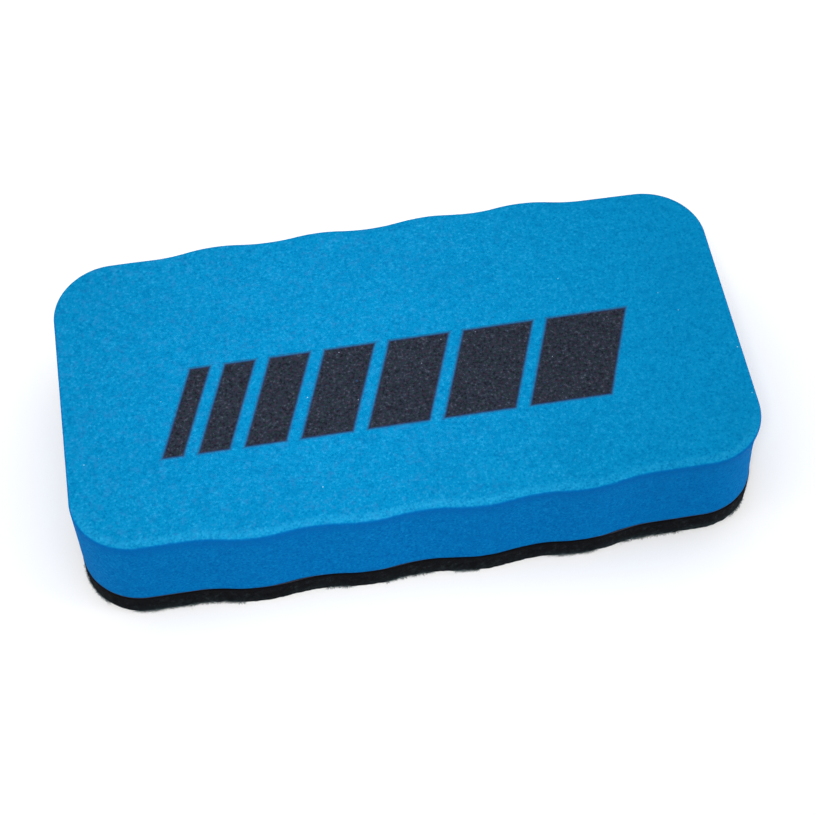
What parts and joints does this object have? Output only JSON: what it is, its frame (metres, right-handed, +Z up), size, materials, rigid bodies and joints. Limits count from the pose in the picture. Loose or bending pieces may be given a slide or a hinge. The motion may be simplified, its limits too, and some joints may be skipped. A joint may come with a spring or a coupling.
{
  "type": "board eraser",
  "caption": "Foam board eraser with wavy finger-grip sides, hidden disc magnets and a felt wiping pad bonded underneath.",
  "frame": {"origin": "middle of the wiping face, where the felt meets the board", "axes": "+X along the length, +Y across the width away from the side that the printed stripes lie nearer to, +Z up from the felt to the printed top"},
  "size_m": [0.11, 0.0578, 0.0201],
  "materials": {
    "foam": "matte",
    "ink": "matte",
    "ferrite": "matte",
    "glue": "satin",
    "adhesive_film": "matte",
    "felt": "matte"
  },
  "bodies": {
    "root": {"foam_body": "foam", "printed_mark": "ink", "magnet_left": "ferrite", "magnet_right": "ferrite", "magnet_glue_left": "glue", "magnet_glue_right": "glue", "felt_adhesive": "adhesive_film", "felt_pad": "felt"}
  },
  "joints": []
}
